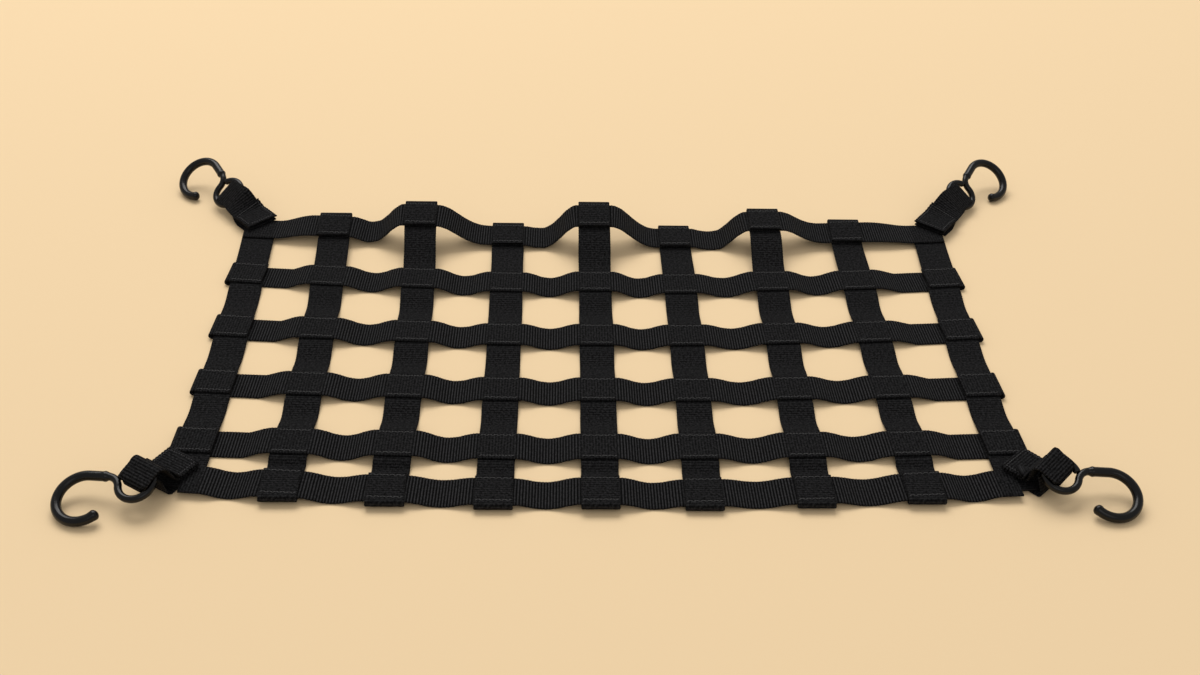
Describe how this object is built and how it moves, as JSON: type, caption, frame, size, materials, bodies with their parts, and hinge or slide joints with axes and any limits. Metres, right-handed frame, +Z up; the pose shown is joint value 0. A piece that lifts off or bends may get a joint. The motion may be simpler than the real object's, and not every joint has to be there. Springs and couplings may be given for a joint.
{
  "type": "cargo net",
  "caption": "Rectangular cargo net of flat black webbing straps sewn in an open grid, with a corner tab and an open S-hook at each corner, lying on a surface.",
  "frame": {"origin": "centre of the bounding box's base, on the surface that the net lies on", "axes": "+X along the long straps to the right, +Y away from the front edge, +Z up"},
  "size_m": [0.7016, 0.4264, 0.0292],
  "materials": {
    "webbing": "matte black ribbed polyester webbing",
    "coating": "semi-gloss black dipped coating over steel wire"
  },
  "bodies": {
    "root": {"short_strap_1": "webbing", "short_strap_2": "webbing", "short_strap_3": "webbing", "short_strap_4": "webbing", "short_strap_5": "webbing", "short_strap_6": "webbing", "short_strap_7": "webbing", "short_strap_8": "webbing", "short_strap_9": "webbing", "long_strap_1": "webbing", "long_strap_2": "webbing", "long_strap_3": "webbing", "long_strap_4": "webbing", "long_strap_5": "webbing", "long_strap_6": "webbing", "corner_tab_front_left": "webbing", "corner_tab_front_right": "webbing", "corner_tab_back_left": "webbing", "corner_tab_back_right": "webbing", "corner_patch_front_left": "webbing", "corner_patch_front_right": "webbing", "corner_patch_back_left": "webbing", "corner_patch_back_right": "webbing", "hook_front_left": "coating", "hook_front_right": "coating", "hook_back_left": "coating", "hook_back_right": "coating"}
  },
  "joints": []
}
